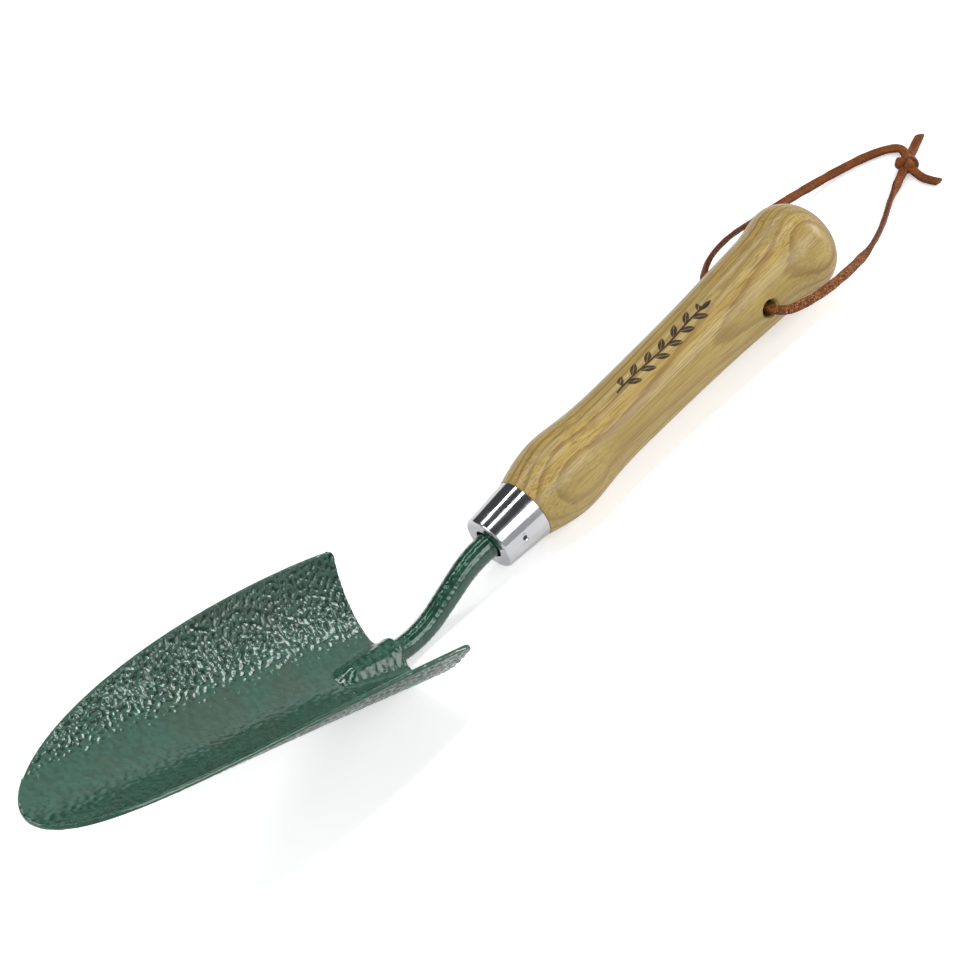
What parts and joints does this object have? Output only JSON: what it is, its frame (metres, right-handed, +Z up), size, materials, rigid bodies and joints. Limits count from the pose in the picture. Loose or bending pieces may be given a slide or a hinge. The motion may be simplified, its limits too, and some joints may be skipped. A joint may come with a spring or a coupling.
{
  "type": "hand trowel",
  "caption": "Hand trowel: a pressed, tapering scoop on a swan-neck tang, with a turned wooden handle, a metal ferrule and a leather hanging thong.",
  "frame": {"origin": "under the middle of the box of the trowel without its thong, on the surface that the trowel lies on", "axes": "+X from the blade's tip towards the end of the handle, +Y to the side the thong bore's lower mouth faces, +Z up; the trowel lies hollow side up on the bend of its tang and the bulge of its handle"},
  "size_m": [0.3952, 0.066, 0.0641],
  "materials": {
    "hammered_green_paint": "glossy hammered grey-green paint",
    "plated_ferrule": "polished plating",
    "lacquered_ash": "pale ash under clear lacquer",
    "lace_leather": "reddish-brown cut lace"
  },
  "bodies": {
    "trowel": {"blade": "hammered_green_paint", "tang": "hammered_green_paint", "tang_welds": "hammered_green_paint", "ferrule": "plated_ferrule", "ferrule_brad": "plated_ferrule", "handle": "lacquered_ash"},
    "thong": {"thong_near_leg": "lace_leather", "thong_far_leg": "lace_leather", "thong_knot": "lace_leather", "thong_tails": "lace_leather"}
  },
  "joints": [
    {"name": "thong_swing", "type": "hinge", "parent": "trowel", "child": "thong", "pos_m": [0.12571, 0, 0.01712], "axis": [-0.0058, -0.9848, 0.1736], "range_deg": [0, 178]}
  ]
}
